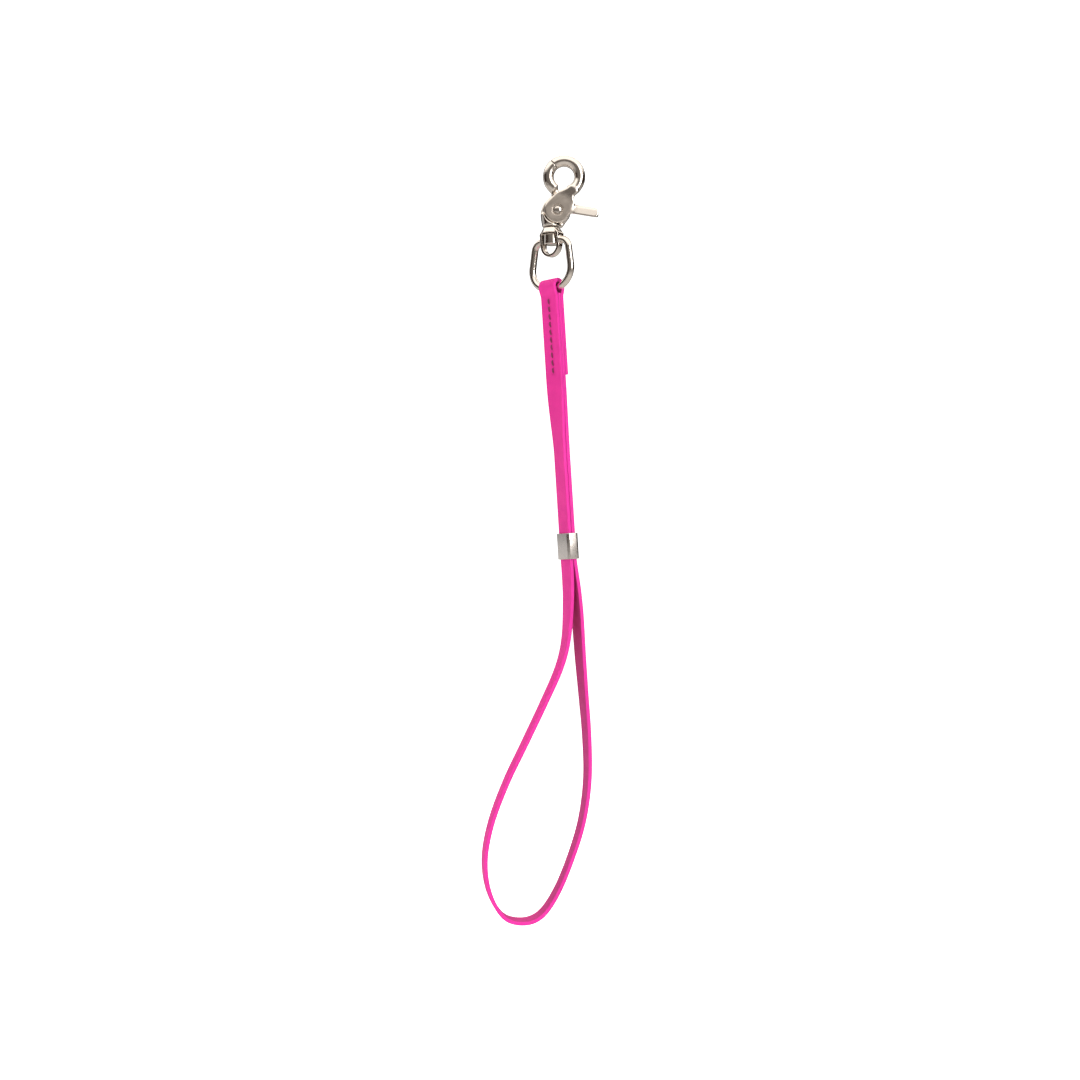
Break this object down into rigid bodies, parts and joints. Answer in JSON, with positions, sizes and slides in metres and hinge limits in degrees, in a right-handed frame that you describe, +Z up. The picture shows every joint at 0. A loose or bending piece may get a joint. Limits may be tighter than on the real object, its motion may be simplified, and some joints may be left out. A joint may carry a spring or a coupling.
{
  "type": "wrist lanyard",
  "caption": "Leather wrist strap folded and stitched round the loop of a swivelling scissor snap hook, with a sliding metal keeper that closes the hand loop.",
  "frame": {"origin": "centre of the hole in the closed hook, where the lanyard hangs from", "axes": "+Z up, towards the top of the hook; -Y is the front, the side with the trigger plate; the lever points to +X"},
  "size_m": [0.0375, 0.0152, 0.2447],
  "materials": {
    "nickel": "polished nickel plate, warm",
    "brushed_nickel": "brushed nickel plate",
    "spring_wire": "drawn spring steel wire",
    "leather": "smooth dyed leather with bright edges",
    "thread": "waxed polyester thread"
  },
  "bodies": {
    "snap": {"snap_body": "nickel", "pivot_rivet": "nickel", "trigger_spring": "spring_wire", "swivel_stud": "nickel"},
    "trigger": {"trigger_hook": "nickel"},
    "loop": {"swivel_loop": "nickel"},
    "strap": {"strap": "leather", "stitch_front": "thread", "stitch_back": "thread"},
    "keeper": {"keeper": "brushed_nickel"}
  },
  "joints": [
    {"name": "trigger_pivot", "type": "hinge", "parent": "snap", "child": "trigger", "pos_m": [-0.0021, 0, -0.0109], "axis": [0, 1, 0], "range_deg": [0, 25], "stiffness_Nm_per_rad": 0.1, "springref_deg": -20.05},
    {"name": "swivel", "type": "hinge", "parent": "snap", "child": "loop", "pos_m": [-0.004, 0, -0.0165], "axis": [0, 0, 1], "continuous": true},
    {"name": "strap_swing", "type": "hinge", "parent": "loop", "child": "strap", "pos_m": [-0.004, 0, -0.0355], "axis": [0.766, -0.6428, 0], "range_deg": [-120, 120]},
    {"name": "keeper_slide", "type": "slide", "parent": "strap", "child": "keeper", "axis": [-0.0628, 0, 0.998], "range_m": [0, 0.022]}
  ]
}
